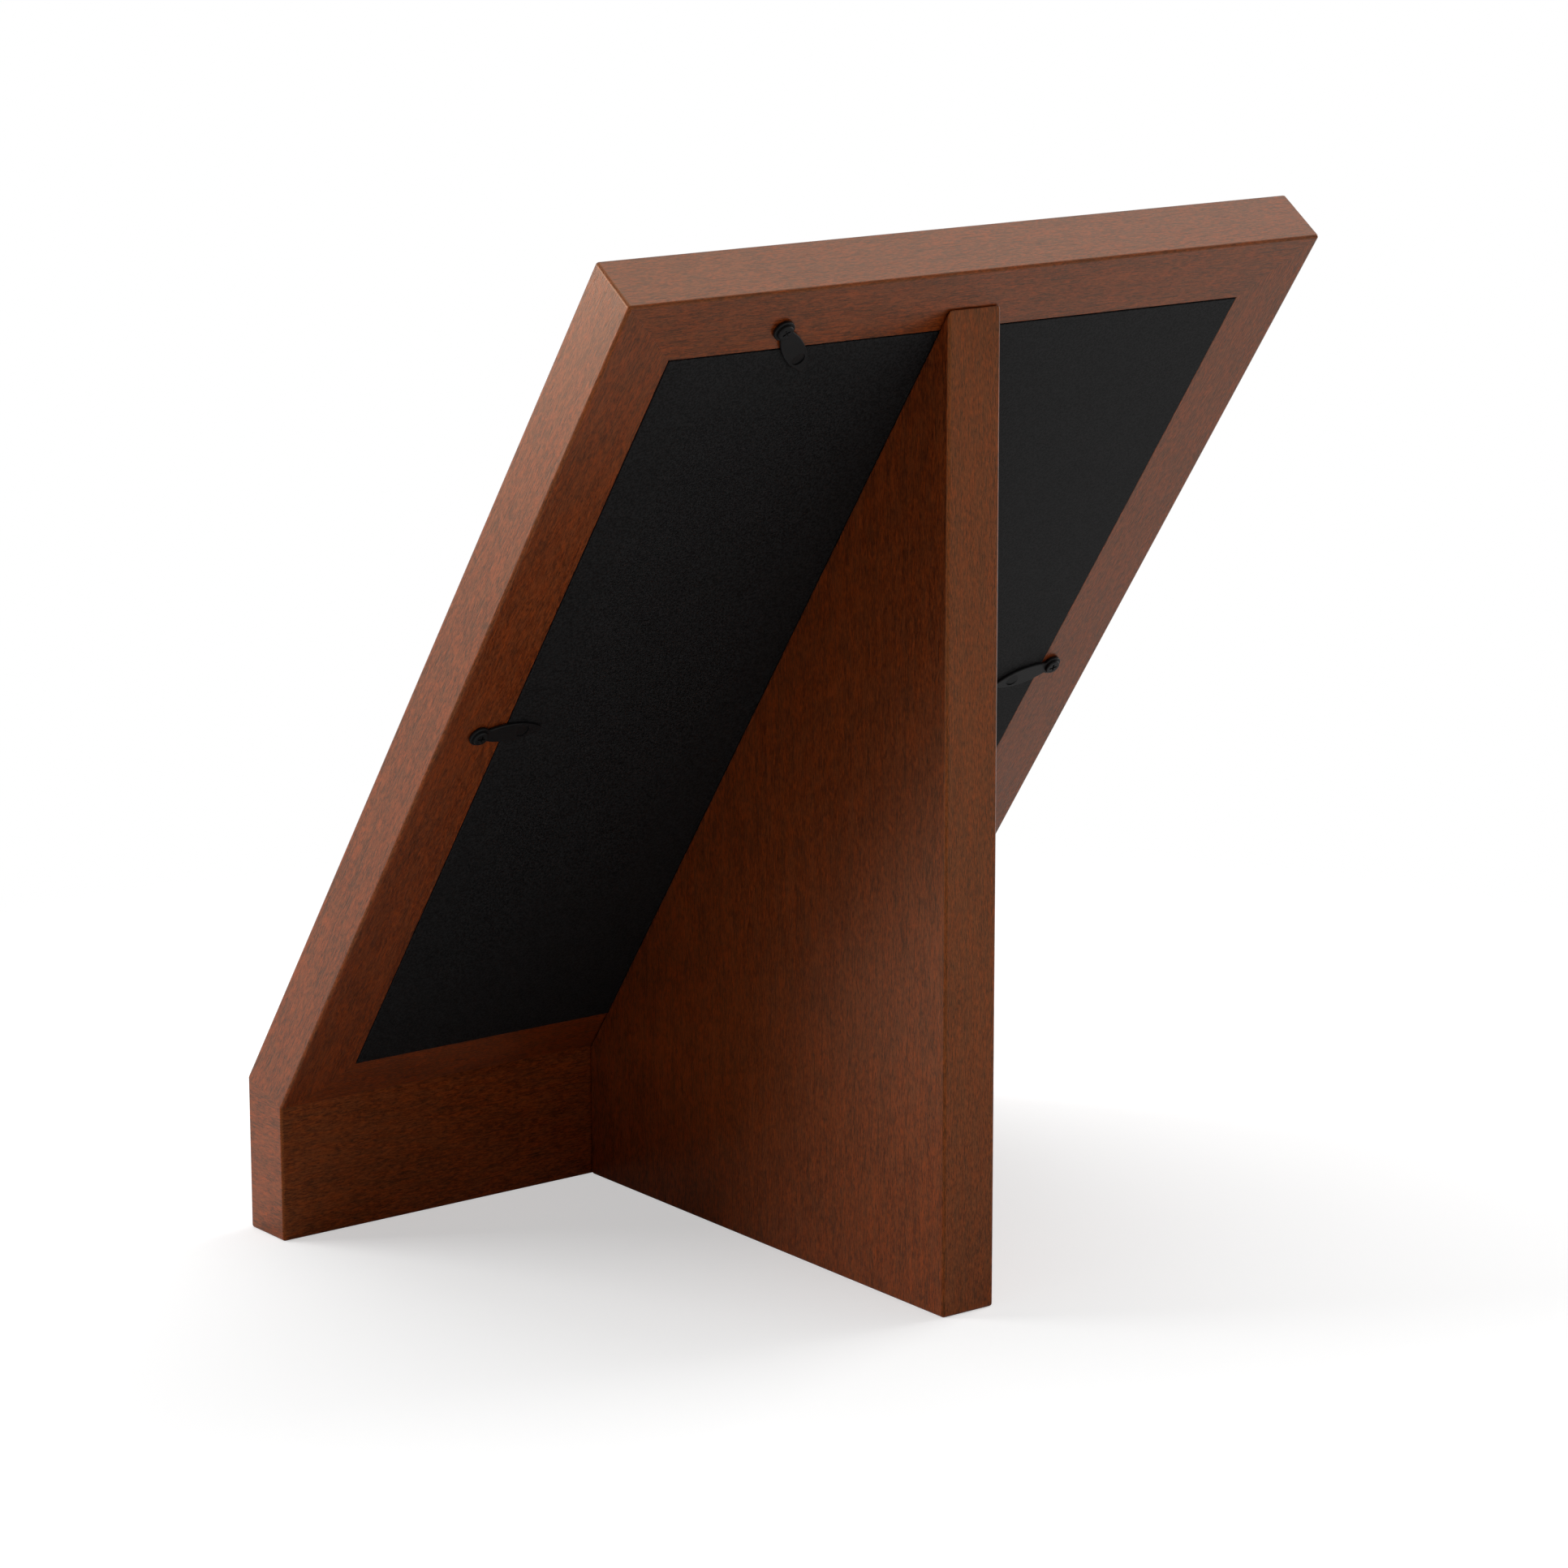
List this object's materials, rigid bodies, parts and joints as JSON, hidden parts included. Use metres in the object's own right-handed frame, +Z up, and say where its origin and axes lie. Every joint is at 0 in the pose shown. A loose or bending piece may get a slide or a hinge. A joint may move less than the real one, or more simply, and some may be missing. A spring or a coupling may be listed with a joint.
{
  "type": "picture frame with easel fin",
  "caption": "Tabletop picture frame in brown stained wood, leaning back on a plinth board and a solid triangular wooden easel fin, with a black board held by leaf-shaped turn buttons.",
  "frame": {"origin": "on the table, at the middle of the whole object's footprint box", "axes": "+X to the right as seen from the front, +Y towards the easel fin's back edge, +Z up; the picture faces -Y and 35 degrees up"},
  "size_m": [0.156, 0.1282, 0.1997],
  "materials": {
    "stained_wood": "walnut-brown stain on fine beech, satin",
    "plain_beech": "bare beech",
    "black_board": "matt black fibreboard with a fine fleck",
    "mat_card": "off-white matt card",
    "print_paper": null,
    "clear_glass": "clear",
    "black_metal": "satin black",
    "zinc_steel": "zinc plated"
  },
  "bodies": {
    "frame": {"top_rail": "stained_wood", "bottom_rail": "stained_wood", "left_stile": "stained_wood", "right_stile": "stained_wood", "plinth_board": "stained_wood", "easel_fin": "stained_wood", "backing_board": "black_board", "picture_print": "print_paper", "mat_board": "mat_card", "glass_pane": "clear_glass", "corner_key_top_left": "plain_beech", "corner_key_top_right": "plain_beech", "corner_key_bottom_left": "plain_beech", "corner_key_bottom_right": "plain_beech", "plinth_dowel_1": "plain_beech", "plinth_dowel_2": "plain_beech", "plinth_dowel_3": "plain_beech", "plinth_dowel_4": "plain_beech", "fin_screw_1": "zinc_steel", "fin_screw_2": "zinc_steel", "fin_screw_3": "zinc_steel", "button_screw_top": "black_metal", "button_screw_right": "black_metal", "button_screw_left": "black_metal", "button_screw_bottom": "black_metal"},
    "turn_button_top": {"turn_button_top": "black_metal"},
    "turn_button_right": {"turn_button_right": "black_metal"},
    "turn_button_left": {"turn_button_left": "black_metal"},
    "turn_button_bottom": {"turn_button_bottom": "black_metal"}
  },
  "joints": [
    {"name": "button_turn_top", "type": "hinge", "parent": "frame", "child": "turn_button_top", "pos_m": [0.0422, 0.05926, 0.1858], "axis": [0, 0.8192, -0.5736], "continuous": true},
    {"name": "button_turn_right", "type": "hinge", "parent": "frame", "child": "turn_button_right", "pos_m": [0.07, 0.0054, 0.10888], "axis": [0, 0.8192, -0.5736], "continuous": true},
    {"name": "button_turn_left", "type": "hinge", "parent": "frame", "child": "turn_button_left", "pos_m": [-0.0668, 0.00196, 0.10397], "axis": [0, 0.8192, -0.5736], "continuous": true},
    {"name": "button_turn_bottom", "type": "hinge", "parent": "frame", "child": "turn_button_bottom", "pos_m": [-0.0422, -0.04944, 0.03057], "axis": [0, 0.8192, -0.5736], "range_deg": [-152, 71]}
  ]
}
